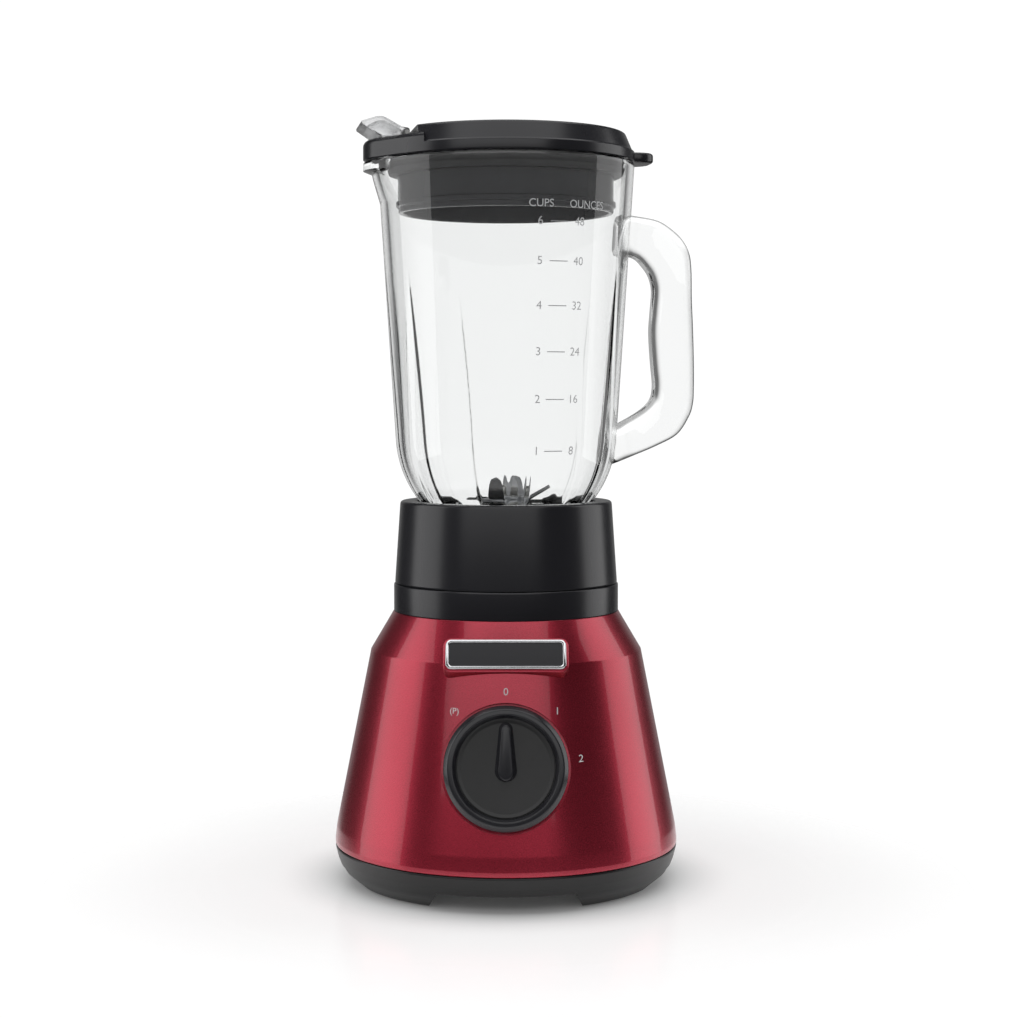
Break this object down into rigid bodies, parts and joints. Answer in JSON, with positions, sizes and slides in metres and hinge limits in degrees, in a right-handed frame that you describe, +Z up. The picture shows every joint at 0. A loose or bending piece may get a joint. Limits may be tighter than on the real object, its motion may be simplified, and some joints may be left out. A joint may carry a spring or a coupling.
{
  "type": "countertop blender",
  "caption": "Countertop blender with a clear glass jar with a handle, black lid with a pouring flap, and a red tapered motor base with a rotary knob.",
  "frame": {"origin": "on the motor's axis, on the surface that the blender stands on", "axes": "+Z up along the motor's axis, -Y towards the control knob, +X to the jar's handle side"},
  "size_m": [0.1914, 0.1913, 0.3989],
  "materials": {
    "housing_red": "metallic red lacquer, glossy",
    "black_gloss": "glossy black moulding",
    "black_matte": "satin black moulding",
    "clear_glass": "clear pressed glass",
    "clear_plastic": "clear moulded plastic",
    "seal_rubber": "soft moulded rubber",
    "foot_rubber": "moulded rubber",
    "silver_trim": "bright plated trim",
    "blade_steel": "ground stainless steel",
    "fastener_steel": "zinc plated steel",
    "core_steel": "stacked steel laminations",
    "copper_winding": "enamelled copper wire",
    "bearing_bronze": "sintered bronze",
    "bracket_metal": "die cast",
    "carbon": "carbon brush block",
    "switch_plastic": "light moulded plastic"
  },
  "bodies": {
    "base": {"housing": "housing_red", "base_tray": "black_matte", "jar_seat": "black_gloss", "badge_frame": "silver_trim", "badge_plate": "black_gloss", "rotary_switch": "switch_plastic", "switch_screws": "fastener_steel", "cord_gland": "seal_rubber", "cord_clamp": "black_matte", "clamp_screws": "fastener_steel", "tray_screws": "fastener_steel", "foot_pad_rear_right": "foot_rubber", "foot_pad_rear_left": "foot_rubber", "foot_pad_front_left": "foot_rubber", "foot_pad_front_right": "foot_rubber", "lower_bearing": "bearing_bronze", "upper_bearing": "bearing_bronze", "lower_bracket": "bracket_metal", "upper_bracket": "bracket_metal", "motor_mounts": "seal_rubber", "mount_screws": "fastener_steel", "motor_bolts": "fastener_steel", "stator_core": "core_steel", "field_coil_front": "copper_winding", "field_coil_rear": "copper_winding", "brush_holder_front": "bearing_bronze", "brush_holder_rear": "bearing_bronze", "brush_front": "carbon", "brush_rear": "carbon", "brush_spring_front": "fastener_steel", "brush_spring_rear": "fastener_steel"},
    "control_knob": {"knob": "black_gloss", "switch_spindle": "fastener_steel"},
    "rotor": {"motor_shaft": "fastener_steel", "cooling_fan": "black_matte", "rotor_core": "core_steel", "armature_winding": "copper_winding", "commutator": "copper_winding", "drive_coupling": "black_matte"},
    "jar_base": {"jar_collar": "black_gloss", "blade_holder": "black_gloss", "blade_bearing": "bearing_bronze", "shaft_seal": "seal_rubber", "holder_nut": "black_matte"},
    "cutter": {"blade_shaft": "blade_steel", "upper_blade": "blade_steel", "lower_blade": "blade_steel", "blade_washer": "blade_steel", "blade_nut": "blade_steel", "driven_coupling": "black_matte"},
    "gasket": {"jar_gasket": "seal_rubber"},
    "jar": {"jar_glass": "clear_glass"},
    "lid": {"lid_cover": "black_gloss", "lid_seal": "seal_rubber", "flap_hinge_pin": "fastener_steel"},
    "flap": {"pour_flap": "clear_plastic"}
  },
  "joints": [
    {"name": "knob_turn", "type": "hinge", "parent": "base", "child": "control_knob", "pos_m": [0, -0.08115, 0.0715], "axis": [0, 0.9813, -0.1924], "range_deg": [-43, 86]},
    {"name": "rotor_spin", "type": "hinge", "parent": "base", "child": "rotor", "pos_m": [0, 0, 0.06], "axis": [0, 0, 1], "continuous": true},
    {"name": "jar_lift", "type": "slide", "parent": "base", "child": "jar_base", "axis": [0, 0, 1], "range_m": [0, 0.08]},
    {"name": "cutter_spin", "type": "hinge", "parent": "jar_base", "child": "cutter", "pos_m": [0, 0, 0.18], "axis": [0, 0, 1], "continuous": true},
    {"name": "jar_unscrew", "type": "hinge", "parent": "jar_base", "child": "gasket", "pos_m": [0, 0, 0.19], "axis": [0, 0, 1], "range_deg": [0, 540]},
    {"name": "jar_rise", "type": "slide", "parent": "gasket", "child": "jar", "axis": [0, 0, 1], "range_m": [0, 0.0121]},
    {"name": "lid_lift", "type": "slide", "parent": "jar", "child": "lid", "axis": [0, 0, 1], "range_m": [0, 0.06]},
    {"name": "flap_open", "type": "hinge", "parent": "lid", "child": "flap", "pos_m": [-0.05353, -0.00848, 0.3909], "axis": [-0.1564, 0.9877, 0], "range_deg": [0, 85]}
  ],
  "couplings": [
    {"joint": "cutter_spin", "follows": "rotor_spin", "ratio": 1},
    {"joint": "jar_rise", "follows": "jar_unscrew", "m_per_rad": 0.0012732}
  ]
}
